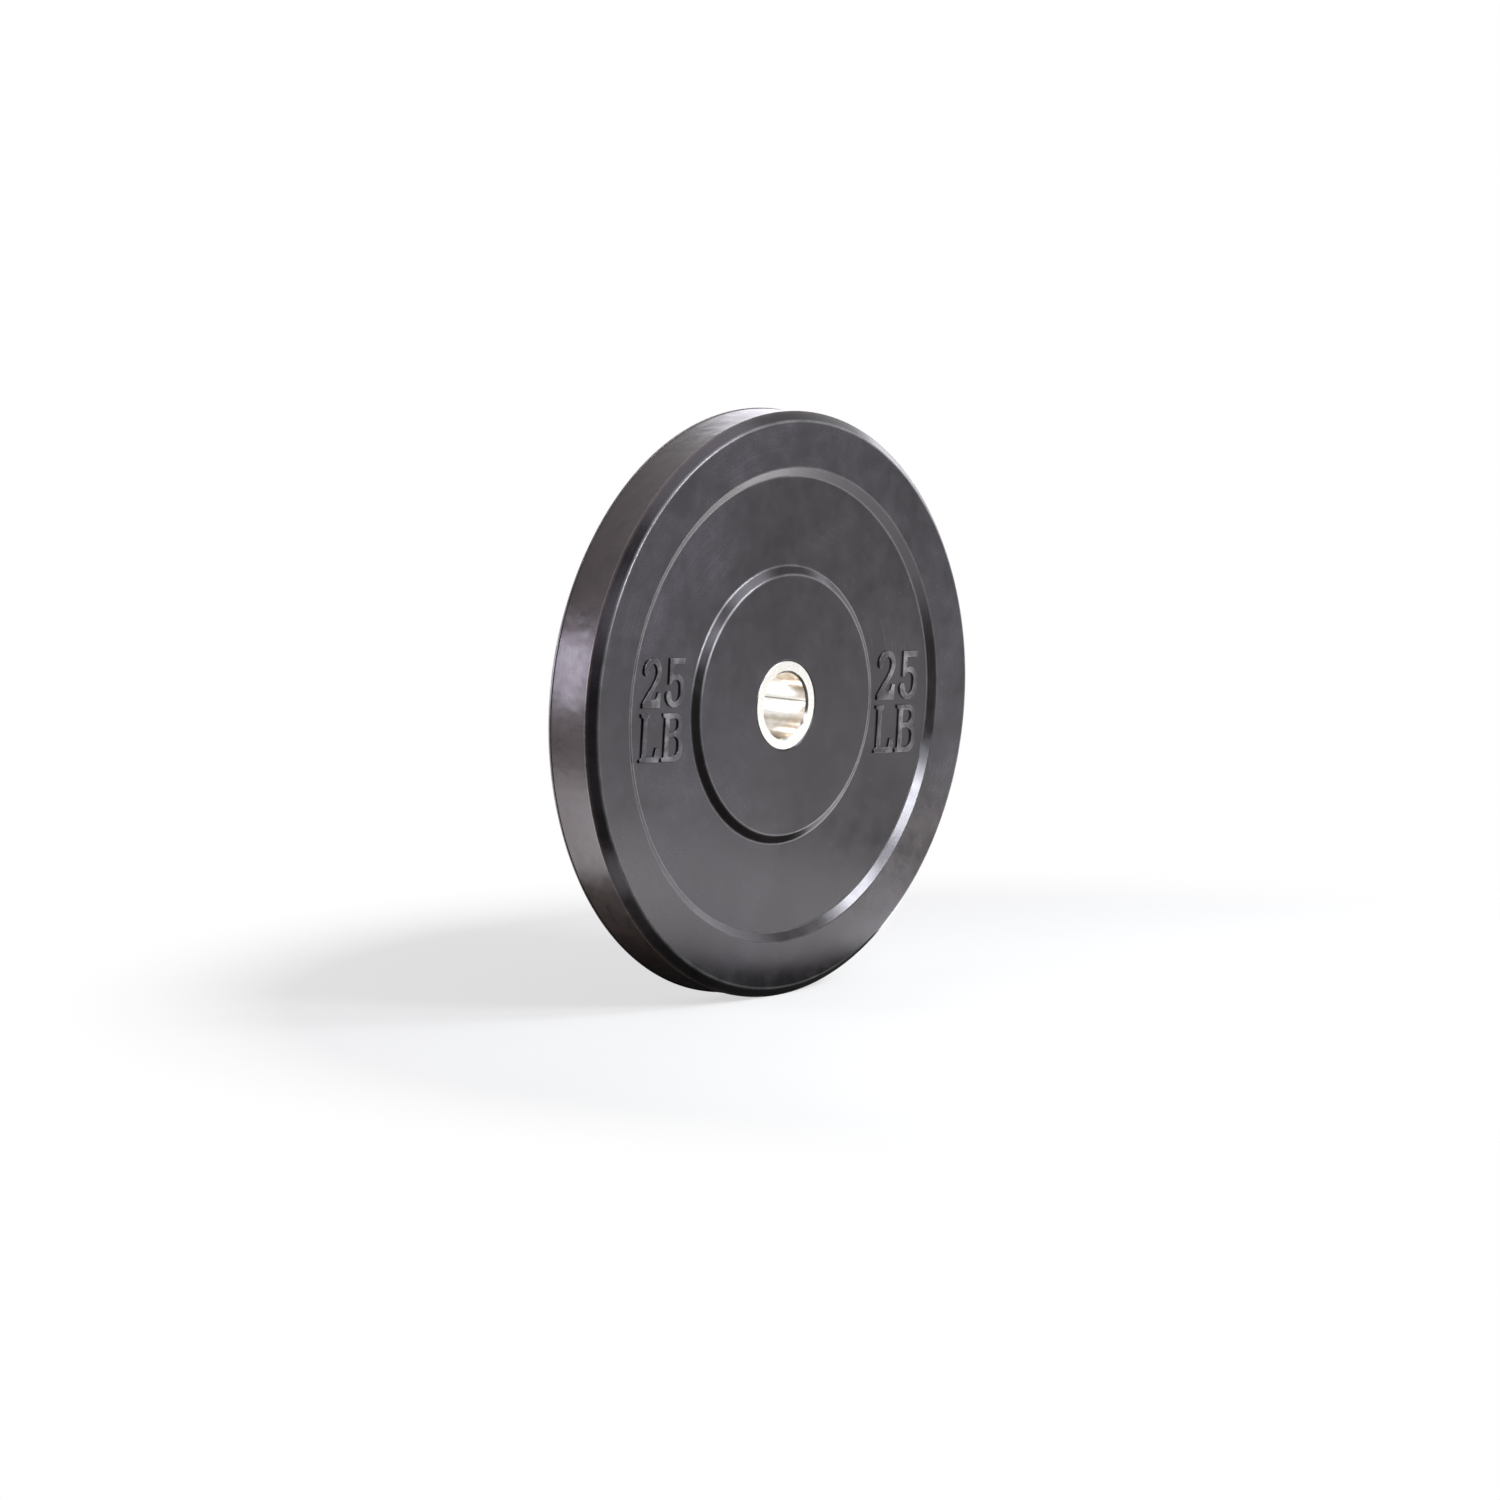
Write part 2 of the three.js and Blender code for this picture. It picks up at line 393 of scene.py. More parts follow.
def newMaterial(name):
    material = bpy.data.materials.new(name)
    material.use_nodes = True
    material.node_tree.nodes.clear()
    return material, material.node_tree


def placeAndRadius(tree):
    # object position, the same point dropped onto the XZ plane, and its distance from the axis
    place = output(addNode(tree, "ShaderNodeTexCoord"), "Object")
    spoke = addNode(tree, "ShaderNodeVectorMath", {0: place, 1: (1, 0, 1)},
                    operation="MULTIPLY")
    radius = addNode(tree, "ShaderNodeVectorMath", {0: spoke}, operation="LENGTH")
    return place, spoke, output(radius, "Value")


strokeCircle = 200                # radius at which a stroke round the axis has its full length
strokeShift = 0.6                 # a step along the axis counts as this much of one outwards


def aroundAxis(tree, place, spoke, radius, width, length):
    # coordinates that change quickly across a ring and slowly round it, in pattern units
    direction = addNode(tree, "ShaderNodeVectorMath", {0: spoke}, operation="NORMALIZE")
    slow = addNode(tree, "ShaderNodeVectorMath",
                   {0: direction, "Scale": strokeCircle / length}, operation="SCALE")
    depth = output(addNode(tree, "ShaderNodeSeparateXYZ", {0: place}), "Y")
    across = addNode(tree, "ShaderNodeMath", {0: depth, 1: strokeShift, 2: radius},
                     operation="MULTIPLY_ADD")
    quick = addNode(tree, "ShaderNodeMath", {0: across, 1: 1 / (width * mm)},
                    operation="MULTIPLY")
    lifted = addNode(tree, "ShaderNodeCombineXYZ", {"Y": quick})
    return addNode(tree, "ShaderNodeVectorMath", {0: slow, 1: lifted}, operation="ADD")


def nearness(tree, value, middle, reach, strength):
    # falls smoothly from the strength to nothing as the value leaves the middle
    gap = addNode(tree, "ShaderNodeMath", {0: value, 1: middle * mm}, operation="SUBTRACT")
    away = addNode(tree, "ShaderNodeMath", {0: gap}, operation="ABSOLUTE")
    return addNode(tree, "ShaderNodeMapRange",
                   {"Value": away, **limits(0.0, reach * mm, strength, 0.0)},
                   interpolation_type="SMOOTHSTEP")


# A spread is the noise level where something begins, the level where it is full and, where
# these aren't 0 and 1, what it is at each
rubber = {
    "cleanTint": "#0c0b0a",       # fresh compound, nearly black
    "bloomTint": "#1e1b19",       # where waxes have bloomed to the surface
    # pale dust, and the painted violet sheen on the web's left and the outer bevel
    "dustAndSheenTint": "#918ca4",
    "treadTint": "#785b48",       # brown dirt picked up by rolling on floors
    # paler and warmer low on the rim
    "lowRimTint": "#8c8078",
    # pale lines along the edges: partly wear, partly painted highlights
    "wearAndHighlightTint": "#a39f9f",
    "sheenTint": "#fbf4fe",       # the wax film's cool reflection
    "cloudShare": 2.2,            # weight of the clouds against the mottle in the bloom
    "bloomSpread": (1.05, 2.15),
    "hazeAmount": 0.055,
    "hazeSpread": (0.35, 0.65, 0.5, 1.5),       # the grain breaks the haze up like a powder
    "paintedSheenAcross": (-170, 0, 2.3, 0.3),          # painted sheen: stronger on the web's left than from its middle on
    "flatCosines": (0.9, 0.99),   # haze settles on faces that lie this flat
    "rimHaze": 1.1,
    "paintedBevelSheen": 0.8,             # the outer bevel's, a painted sheen
    "bevelBlend": 1,              # half the width over which that comes in
    "scuffWidth": 2.2,
    "scuffLength": 70,
    "scuffWander": 0.8,
    "scuffSpread": (0.5, 0.8),
    "scuffPatches": (0.5, 0.66),  # only where the clouds are this high
    "scuffAmount": 0.05,
    "scuffRoughness": 0.06,
    "speckSpacing": 8,
    "speckSpread": (0.07, 0.02, 0.0, 0.16),     # by distance from a speck's middle, in spacings
    "treadBlend": 1.5,            # the tread's finish comes in over this last stretch
    "treadSpread": (0.3, 0.7, 0.11, 0.22),
    "lowRimPatches": (-122, 75, 0.08),     # paler, warmer patches low on the rim: height, reach, strength
    "lowRimSpread": (0.35, 0.65, 0.5, 1.3),
    "roughSpread": (0.3, 0.7, 0.18, 0.26),      # polished and dull patches
    "treadRoughness": 0.07,
    "waveDepth": 0.12,
    "grainDepth": 0.01,
    "treadDepth": 0.4,            # shallow dents and rubs that break up the tread's gloss
    "rubDepth": 0.1,              # the rubs' share of it
    "ior": 1.54,
}

# Noise in the rubber: size, detail, roughness, distortion
rubberNoises = {
    "clouds": (95, 3.0, 0.5, 0.5),
    "mottle": (15, 4.0, 0.55, 0.0),
    "waves": (38, 1.0, 0.5, 0.0),               # slow waviness of the mould's polish
    "grain": (1.2, 3.0, 0.6, 0.0),              # moulding grain, coarser than life so that it shows
    "dents": (13, 1.0, 0.5, 0.0),
}

# Paler lines, partly wear and partly painted highlights: along the edges and mould lips, and on
# tops of the marks
wearAndHighlights = {
    "amount": 0.2,
    "spread": (0.3, 0.65, 0.5, 1.0),
    "edges": (                    # where they lie in the section, how strongly, how wide
        ("rimOuterRadius", 1.7, 1.7),
        ("rimInnerRadius", 0.5, 1.3),
        ("webOuterRadius", 1.1, 1.1),
        ("hubRootRadius", 0.9, 1.4),
        ("hubFaceRadius", 1.2, 1.5),
    ),
    "highlightSide": (-0.7071, 0, 0.7071),               # the painted highlights are strongest at the upper left, where light catches the edges
    "highlightCosines": (0.78, 1.0),   # the extra painted highlight begins and is full this near to there
    "highlightTimes": {"hubRootRadius": 4.2, "hubFaceRadius": 4.0, "rimOuterRadius": 2.0},
    "lips": (1.4, 2.0),           # pale line along the mould lips, partly painted highlight: reach and strength
    "lipsInside": 2,              # the lip lines run from this far inside the tread outwards
    "tops": (0.9, 0.35),          # reach as a share of the relief, and strength
    "web": (31, 3.0),             # the marks' ring: reach from its middle, and strength
    "topSpread": (0.42, 0.62, 0.3, 2.4),
}


def edgeWearAndHighlights(tree, place, radius, breakup):
    # pale lines along the edges and the mould lips, partly wear and partly painted highlights, and
    # pale tops on the marks
    depth = output(addNode(tree, "ShaderNodeSeparateXYZ", {0: place}), "Y")
    height = addNode(tree, "ShaderNodeMath", {0: depth}, operation="ABSOLUTE")
    direction = addNode(tree, "ShaderNodeVectorMath", {0: place}, operation="NORMALIZE")
    towardsHighlight = addNode(tree, "ShaderNodeVectorMath", {0: direction, 1: wearAndHighlights["highlightSide"]},
                      operation="DOT_PRODUCT")
    lines = []
    for edge, strength, reach in wearAndHighlights["edges"]:
        line = nearness(tree, radius, disc[edge], reach, strength)
        if edge in wearAndHighlights["highlightTimes"]:
            span = limits(*wearAndHighlights["highlightCosines"], 1.0, wearAndHighlights["highlightTimes"][edge])
            times = addNode(tree, "ShaderNodeMapRange",
                            {"Value": output(towardsHighlight, "Value"), **span})
            line = addNode(tree, "ShaderNodeMath", {0: line, 1: times}, operation="MULTIPLY")
        lines.append(line)
    lip = nearness(tree, height, (disc["lipHeight"] + disc["lipInnerHeight"]) / 2, *wearAndHighlights["lips"])
    outside = addNode(tree, "ShaderNodeMath",
                      {0: radius, 1: (disc["treadRadius"] - wearAndHighlights["lipsInside"]) * mm},
                      operation="GREATER_THAN")
    lines.append(addNode(tree, "ShaderNodeMath", {0: lip, 1: outside}, operation="MULTIPLY"))
    share, strength = wearAndHighlights["tops"]
    top = nearness(tree, height, disc["webHeight"] + marks["relief"], marks["relief"] * share,
                   strength)
    onWeb = nearness(tree, radius, (disc["webOuterRadius"] + disc["hubRootRadius"]) / 2,
                     *wearAndHighlights["web"])
    marked = addNode(tree, "ShaderNodeMath", {0: top, 1: onWeb}, operation="MULTIPLY",
                     use_clamp=True)
    patchy = addNode(tree, "ShaderNodeMapRange", {"Value": breakup, **limits(*wearAndHighlights["topSpread"])})
    lines.append(addNode(tree, "ShaderNodeMath", {0: marked, 1: patchy}, operation="MULTIPLY"))
    total = lines[0]
    for line in lines[1:]:
        total = addNode(tree, "ShaderNodeMath", {0: total, 1: line}, operation="MAXIMUM")
    uneven = addNode(tree, "ShaderNodeMapRange", {"Value": breakup, **limits(*wearAndHighlights["spread"])})
    broken = addNode(tree, "ShaderNodeMath", {0: total, 1: uneven}, operation="MULTIPLY")
    return addNode(tree, "ShaderNodeMath", {0: broken, 1: wearAndHighlights["amount"]}, operation="MULTIPLY")


def mouldedRubber():
    # Vulcanised black rubber from a polished steel mould: nearly black, with a cloudy wax
    # bloom on its flats, a cool satin sheen that flares on the bevels, a painted sheen on the
    # web's left and the outer bevel, paler lines along its edges that are partly wear and partly
    # painted highlights, faint scuffs and specks, and brown dirt on the tread.
    material, tree = newMaterial("mouldedBlackRubber")
    place, spoke, radius = placeAndRadius(tree)
    parts = addNode(tree, "ShaderNodeSeparateXYZ", {0: place})
    noises = {}
    for name, (size, detail, roughness, distortion) in rubberNoises.items():
        noises[name] = addNode(tree, "ShaderNodeTexNoise",
                               {"Vector": place, "Scale": 1 / (size * mm), "Detail": detail,
                                "Roughness": roughness, "Distortion": distortion})
    clouds, mottle, grain = noises["clouds"], noises["mottle"], noises["grain"]

    bloom = addNode(tree, "ShaderNodeMath", {0: clouds, 1: rubber["cloudShare"], 2: mottle},
                    operation="MULTIPLY_ADD")
    bloomed = addNode(tree, "ShaderNodeMapRange",
                      {"Value": bloom, **limits(*rubber["bloomSpread"])})
    tint = addNode(tree, "ShaderNodeMix",
                   {0: bloomed, 1: linearFromHex(rubber["cleanTint"]),
                    2: linearFromHex(rubber["bloomTint"])}, data_type="RGBA")

    # haze: dust on the flats, and a painted sheen that is stronger on the web's left and lies on
    # the outer bevel
    facing = output(addNode(tree, "ShaderNodeTexCoord"), "Normal")
    along = output(addNode(tree, "ShaderNodeSeparateXYZ", {0: facing}), "Y")
    steepness = addNode(tree, "ShaderNodeMath", {0: along}, operation="ABSOLUTE")
    flatness = addNode(tree, "ShaderNodeMapRange",
                       {"Value": steepness, **limits(*rubber["flatCosines"])})
    left, middle, *shares = rubber["paintedSheenAcross"]
    side = addNode(tree, "ShaderNodeMapRange",
                   {"Value": output(parts, "X"), **limits(left * mm, middle * mm, *shares)})
    onRim = addNode(tree, "ShaderNodeMapRange",
                    {"Value": radius,
                     **limits(disc["webOuterRadius"] * mm, disc["rimInnerRadius"] * mm)})
    share = addNode(tree, "ShaderNodeMix", {0: onRim, 1: side, 2: rubber["rimHaze"]})
    bevelFrom, blend = disc["rimOuterRadius"], rubber["bevelBlend"]
    bevelSheen = addNode(tree, "ShaderNodeMapRange",
                      {"Value": radius,
                       **limits((bevelFrom - blend) * mm, (bevelFrom + blend) * mm, 0.0,
                                rubber["paintedBevelSheen"] / rubber["rimHaze"])})
    flatOrBevel = addNode(tree, "ShaderNodeMath", {0: flatness, 1: bevelSheen}, operation="MAXIMUM")
    powder = addNode(tree, "ShaderNodeMapRange",
                     {"Value": grain, **limits(*rubber["hazeSpread"])})
    haze = bloomed
    for factor in (flatOrBevel, powder, share):
        haze = addNode(tree, "ShaderNodeMath", {0: haze, 1: factor}, operation="MULTIPLY")

    # scuffs run round the axis where the clouds are thick, and specks lie all over
    rubbed = aroundAxis(tree, place, spoke, radius, rubber["scuffWidth"], rubber["scuffLength"])
    strokes = addNode(tree, "ShaderNodeTexNoise",
                      {"Vector": rubbed, "Scale": 1.0, "Detail": 2.0,
                       "Distortion": rubber["scuffWander"]})
    scuffs = addNode(tree, "ShaderNodeMapRange",
                     {"Value": strokes, **limits(*rubber["scuffSpread"])})
    patches = addNode(tree, "ShaderNodeMapRange",
                      {"Value": clouds, **limits(*rubber["scuffPatches"])})
    scuffed = addNode(tree, "ShaderNodeMath", {0: scuffs, 1: patches}, operation="MULTIPLY")
    dots = addNode(tree, "ShaderNodeTexVoronoi",
                   {"Vector": place, "Scale": 1 / (rubber["speckSpacing"] * mm)})
    specks = addNode(tree, "ShaderNodeMapRange",
                     {"Value": output(dots, "Distance"), **limits(*rubber["speckSpread"])})
    dusty = addNode(tree, "ShaderNodeMath", {0: scuffed, 1: rubber["scuffAmount"], 2: specks},
                    operation="MULTIPLY_ADD")
    hazed = addNode(tree, "ShaderNodeMath", {0: haze, 1: rubber["hazeAmount"], 2: dusty},
                    operation="MULTIPLY_ADD")

    # dirt on the tread, paler patches low on the rim, haze with its painted sheen, and wear with
    # painted highlights, laid over one another
    treadFrom = disc["treadRadius"]
    onTread = addNode(tree, "ShaderNodeMapRange",
                      {"Value": radius,
                       **limits((treadFrom - rubber["treadBlend"]) * mm, treadFrom * mm)})
    dirtiness = addNode(tree, "ShaderNodeMapRange",
                        {"Value": mottle, **limits(*rubber["treadSpread"])})
    dirt = addNode(tree, "ShaderNodeMath", {0: onTread, 1: dirtiness}, operation="MULTIPLY")
    low = addNode(tree, "ShaderNodeMath",
                  {0: nearness(tree, output(parts, "Z"), *rubber["lowRimPatches"]), 1: onRim},
                  operation="MULTIPLY")
    blotches = addNode(tree, "ShaderNodeMapRange",
                       {"Value": mottle, **limits(*rubber["lowRimSpread"])})
    lowRimPatches = addNode(tree, "ShaderNodeMath", {0: low, 1: blotches}, operation="MULTIPLY")
    wornAndLit = edgeWearAndHighlights(tree, place, radius, mottle)
    colour = tint
    for cover, coverTint in ((dirt, "treadTint"), (lowRimPatches, "lowRimTint"), (hazed, "dustAndSheenTint"),
                             (wornAndLit, "wearAndHighlightTint")):
        colour = addNode(tree, "ShaderNodeMix",
                         {0: cover, 1: colour, 2: linearFromHex(rubber[coverTint])},
                         data_type="RGBA")

    # gloss, and the relief that is too fine for the mesh
    sheen = addNode(tree, "ShaderNodeMapRange",
                    {"Value": mottle, **limits(*rubber["roughSpread"])})
    dulled = addNode(tree, "ShaderNodeMath",
                     {0: scuffed, 1: rubber["scuffRoughness"], 2: sheen},
                     operation="MULTIPLY_ADD")
    roughness = addNode(tree, "ShaderNodeMath",
                        {0: onTread, 1: rubber["treadRoughness"], 2: dulled},
                        operation="MULTIPLY_ADD")
    wavy = addNode(tree, "ShaderNodeBump",
                   {"Height": noises["waves"], "Strength": 1.0,
                    "Distance": rubber["waveDepth"] * mm})
    grainy = addNode(tree, "ShaderNodeBump",
                     {"Height": grain, "Strength": 1.0, "Normal": wavy,
                      "Distance": rubber["grainDepth"] * mm})
    rolled = addNode(tree, "ShaderNodeMath",
                     {0: strokes, 1: rubber["rubDepth"], 2: noises["dents"]},
                     operation="MULTIPLY_ADD")
    dented = addNode(tree, "ShaderNodeBump",
                     {"Height": rolled, "Strength": onTread, "Normal": grainy,
                      "Distance": rubber["treadDepth"] * mm})
    surface = addNode(tree, "ShaderNodeBsdfPrincipled",
                      {"Base Color": colour, "Roughness": roughness, "Normal": dented,
                       "IOR": rubber["ior"], "Specular Tint": linearFromHex(rubber["sheenTint"])})
    addNode(tree, "ShaderNodeOutputMaterial", {"Surface": surface})
    return material


stainless = {
    "bright": "#f3f2f0",
    "shaded": "#e9e3d9",
    "toneSpread": (0.35, 0.7),
    "smudgeSize": 9,
    "roughSpread": (0.3, 0.7, 0.16, 0.24),
    "turningPitch": 0.5,          # facing marks, drawn coarser than a lathe leaves them
    "turningLength": 60,
    "turningDepth": 0.0006,
    "drawnWidth": 1.6,            # streaks along the tube
    "drawnStretch": 0.05,         # their width over their length
    "drawnDepth": 0.5,            # against the facing marks'
    "boreMargin": 0.5,
    "reflectionBandTint": "#a39175",        # painted reflections of the surroundings: warm bands along the bore
    "reflectionBandBase": 0.2,
    "reflectionBandLevels": ((-14.5, 4.5, 0.9), (-19, 5, 0.6), (18, 9, 0.85), (-25, 5, 1.0)),
    "reflectionBandAcross": (-20, -4),      # painted on the bore's right side only
    "reflectionBandSpread": (0.35, 0.6, 0.55, 1.0),
    "seamTint": "#66625c",
    "seam": (0.4, 0.9, 0.9),      # the tube's welded seam, ground nearly flush
}


def turnedStainless():
    # Stainless tube, faced on a lathe: bright and nearly white, with fine rings on its
    # ends, and soft streaks, painted warm reflection bands and the tube's seam along the bore.
    material, tree = newMaterial("turnedStainlessSteel")
    place, spoke, radius = placeAndRadius(tree)
    ringing = aroundAxis(tree, place, spoke, radius, stainless["turningPitch"],
                         stainless["turningLength"])
    rings = addNode(tree, "ShaderNodeTexNoise", {"Vector": ringing, "Scale": 1.0, "Detail": 2.0})
    narrow = 1 / (stainless["drawnWidth"] * mm)
    drawn = addNode(tree, "ShaderNodeVectorMath",
                    {0: place, 1: (narrow, narrow * stainless["drawnStretch"], narrow)},
                    operation="MULTIPLY")
    streaks = addNode(tree, "ShaderNodeTexNoise", {"Vector": drawn, "Scale": 1.0, "Detail": 3.0})
    smudges = addNode(tree, "ShaderNodeTexNoise",
                      {"Vector": place, "Scale": 1 / (stainless["smudgeSize"] * mm),
                       "Detail": 4.0})
    roughness = addNode(tree, "ShaderNodeMapRange",
                        {"Value": smudges, **limits(*stainless["roughSpread"])})
    tone = addNode(tree, "ShaderNodeMapRange",
                   {"Value": streaks, **limits(*stainless["toneSpread"])})
    clean = addNode(tree, "ShaderNodeMix",
                    {0: tone, 1: linearFromHex(stainless["bright"]),
                     2: linearFromHex(stainless["shaded"])}, data_type="RGBA")

    parts = addNode(tree, "ShaderNodeSeparateXYZ", {0: place})
    across, height = output(parts, "X"), output(parts, "Z")
    bore = addNode(tree, "ShaderNodeMath",
                   {0: radius, 1: (sleeve["boreRadius"] + stainless["boreMargin"]) * mm},
                   operation="LESS_THAN")
    left, right = stainless["reflectionBandAcross"]
    side = addNode(tree, "ShaderNodeMapRange",
                   {"Value": across, **limits(left * mm, right * mm, 0.0, bore)})
    broken = addNode(tree, "ShaderNodeMapRange",
                     {"Value": smudges, **limits(*stainless["reflectionBandSpread"])})
    reflectionBand = stainless["reflectionBandBase"]
    for middle, reach, strength in stainless["reflectionBandLevels"]:
        band = nearness(tree, height, middle, reach, strength)
        reflectionBand = addNode(tree, "ShaderNodeMath", {0: reflectionBand, 1: band}, operation="MAXIMUM")
    for factor in (broken, side):
        reflectionBand = addNode(tree, "ShaderNodeMath", {0: reflectionBand, 1: factor}, operation="MULTIPLY")
    seam = addNode(tree, "ShaderNodeMath",
                   {0: nearness(tree, height, *stainless["seam"]), 1: side},
                   operation="MULTIPLY")
    colour = clean
    for cover, coverTint in ((reflectionBand, "reflectionBandTint"), (seam, "seamTint")):
        colour = addNode(tree, "ShaderNodeMix",
                         {0: cover, 1: colour, 2: linearFromHex(stainless[coverTint])},
                         data_type="RGBA")
    ridged = addNode(tree, "ShaderNodeMath", {0: streaks, 1: stainless["drawnDepth"], 2: rings},
                     operation="MULTIPLY_ADD")
    normal = addNode(tree, "ShaderNodeBump",
                     {"Height": ridged, "Strength": 1.0,
                      "Distance": stainless["turningDepth"] * mm})
    surface = addNode(tree, "ShaderNodeBsdfPrincipled",
                      {"Base Color": colour, "Metallic": 1.0, "Roughness": roughness,
                       "Normal": normal})
    addNode(tree, "ShaderNodeOutputMaterial", {"Surface": surface})
    return material


steel = {
    "bare": "#8b8883",
    "scale": "#4a4744",
    "scaleSize": 16,
    "scaleSpread": (0.42, 0.58),
    "roughness": (0.34, 0.6),
    "pitDepth": 0.1,
}


def rolledSteel():
    # Hot-rolled plate: grey steel under patches of dark mill scale, dull and slightly pitted.
    material, tree = newMaterial("hotRolledSteel")
    place = output(addNode(tree, "ShaderNodeTexCoord"), "Object")
    patches = addNode(tree, "ShaderNodeTexNoise",
                      {"Vector": place, "Scale": 1 / (steel["scaleSize"] * mm),
                       "Detail": 6.0, "Roughness": 0.65})
    cover = addNode(tree, "ShaderNodeMapRange",
                    {"Value": patches, **limits(*steel["scaleSpread"])})
    colour = addNode(tree, "ShaderNodeMix",
                     {0: cover, 1: linearFromHex(steel["bare"]),
                      2: linearFromHex(steel["scale"])}, data_type="RGBA")
    roughness = addNode(tree, "ShaderNodeMapRange",
                        {"Value": cover, **limits(0.0, 1.0, *steel["roughness"])})
    normal = addNode(tree, "ShaderNodeBump",
                     {"Height": patches, "Strength": 1.0, "Distance": steel["pitDepth"] * mm})
    surface = addNode(tree, "ShaderNodeBsdfPrincipled",
                      {"Base Color": colour, "Metallic": 1.0, "Roughness": roughness,
                       "Normal": normal})
    addNode(tree, "ShaderNodeOutputMaterial", {"Surface": surface})
    return material


weld = {
    "bead": "#6d6863",
    "heatTint": "#5a4a3c",
    "tintSize": 5,
    "tintSpread": (0.4, 0.62),
    "roughness": (0.35, 0.6),
    "beadRadius": 36.5,
    "rippleSpacing": 1.8,
    "rippleDepth": 0.25,
    "rippleStrength": 0.6,
}


def weldedBead():
    # Arc weld: rippled grey metal, with straw and brown heat tint along its toes.
    material, tree = newMaterial("arcWeldBead")
    place = output(addNode(tree, "ShaderNodeTexCoord"), "Object")
    parts = addNode(tree, "ShaderNodeSeparateXYZ", {0: place})
    angle = addNode(tree, "ShaderNodeMath", {0: output(parts, "X"), 1: output(parts, "Z")},
                    operation="ARCTAN2")
    ripples = round(2 * math.pi * weld["beadRadius"] / weld["rippleSpacing"])
    phase = addNode(tree, "ShaderNodeMath", {0: angle, 1: float(ripples)}, operation="MULTIPLY")
    crest = addNode(tree, "ShaderNodeMath", {0: phase}, operation="SINE")
    burnt = addNode(tree, "ShaderNodeTexNoise",
                    {"Vector": place, "Scale": 1 / (weld["tintSize"] * mm), "Detail": 4.0})
    toned = addNode(tree, "ShaderNodeMapRange",
                    {"Value": burnt, **limits(*weld["tintSpread"])})
    colour = addNode(tree, "ShaderNodeMix",
                     {0: toned, 1: linearFromHex(weld["bead"]),
                      2: linearFromHex(weld["heatTint"])}, data_type="RGBA")
    normal = addNode(tree, "ShaderNodeBump",
                     {"Height": crest, "Strength": weld["rippleStrength"],
                      "Distance": weld["rippleDepth"] * mm})
    roughness = addNode(tree, "ShaderNodeMapRange",
                        {"Value": burnt, **limits(0.0, 1.0, *weld["roughness"])})
    surface = addNode(tree, "ShaderNodeBsdfPrincipled",
                      {"Base Color": colour, "Metallic": 1.0, "Roughness": roughness,
                       "Normal": normal})
    addNode(tree, "ShaderNodeOutputMaterial", {"Surface": surface})
    return material


# The plate itself
block = markBlock()
rubberPlate = pieceFromNodes("rubberPlate", discTree(block), disc, mouldedRubber())
bpy.data.objects.remove(block)
barSleeve = pieceFromNodes("barSleeve", sleeveTree(), sleeve, turnedStainless())
for piece, node, slot in ((rubberPlate, "rubber_body", "rubber"),
                          (barSleeve, "hub_sleeve", "stainless_steel")):
    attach(piece, "root")
    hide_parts(node)

plateSteel = rolledSteel()
beadSteel = weldedBead()
for name, finish in (("anchor_disc", plateSteel), ("weld_bead_front", beadSteel),
                     ("weld_bead_back", beadSteel)):
    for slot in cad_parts[name].material_slots:
        slot.material = finish
print("plate, sleeve and insert finished")


studio = {
    "floorSize": 60000,
    "floorTint": "#f6f5f3",
    "floorBounce": "#4a4948",     # what the floor gives back to the plate as light
    "shadowMiddle": (60, -140, 0),
    "shadowReach": (240, 700),    # the floor's own shading fades to white between these
    "roomBearing": -35,           # the unlit side of the room, where the camera stands
    "roomEdge": (0.8, 0.35),      # cosines from that bearing: dark inside, white outside
    "roomLight": 0.06,
    "sweepLight": 1.0,            # what the white sweep gives back in a gloss
    "paperGlow": 0.62,            # lifts the paper's shadow a little, for the camera alone
    "fill": 0.1,
    "lampTint": "#f4f2ff",        # the lamps are a little cooler than the cards
    "keyTint": "#f6fdff",         # of the two key boxes, whose glints are more neutral
    "cardTint": "#ffffff",
    "cardLift": 2,                # the cards lie this far over the floor
}

# Grey cards that dim what a gloss sees of the sweep: bearing and rise of the middle, the
# cosines where the shade begins and where it is full, and the light that is left
flags = ((70, 27, 0.93, 0.985, 0.42), (72, -3, 0.89, 0.95, 0.68))


def towards(bearing, rise):
    # unit vector: bearing 0 is in front of the plate, and 90 at its right
    a, e = math.radians(bearing), math.radians(rise)
    return Vector((math.sin(a) * math.cos(e), -math.cos(a) * math.cos(e), math.sin(e)))


def litSide(tree, direction):
    # full towards the white sweep, less at the flags, little towards the room's unlit side
    facing = addNode(tree, "ShaderNodeVectorMath",
                     {0: direction, 1: towards(studio["roomBearing"], 0)},
                     operation="DOT_PRODUCT")
    light = addNode(tree, "ShaderNodeMapRange",
                    {"Value": output(facing, "Value"),
                     **limits(*studio["roomEdge"], studio["roomLight"], studio["sweepLight"])},
                    interpolation_type="SMOOTHSTEP")
    for bearing, rise, outer, inner, left in flags:
        near = addNode(tree, "ShaderNodeVectorMath", {0: direction, 1: towards(bearing, rise)},
                       operation="DOT_PRODUCT")
        shade = addNode(tree, "ShaderNodeMapRange",
                        {"Value": output(near, "Value"), **limits(outer, inner, 1.0, left)},
                        interpolation_type="SMOOTHSTEP")
        light = addNode(tree, "ShaderNodeMath", {0: light, 1: shade}, operation="MULTIPLY")
    return light


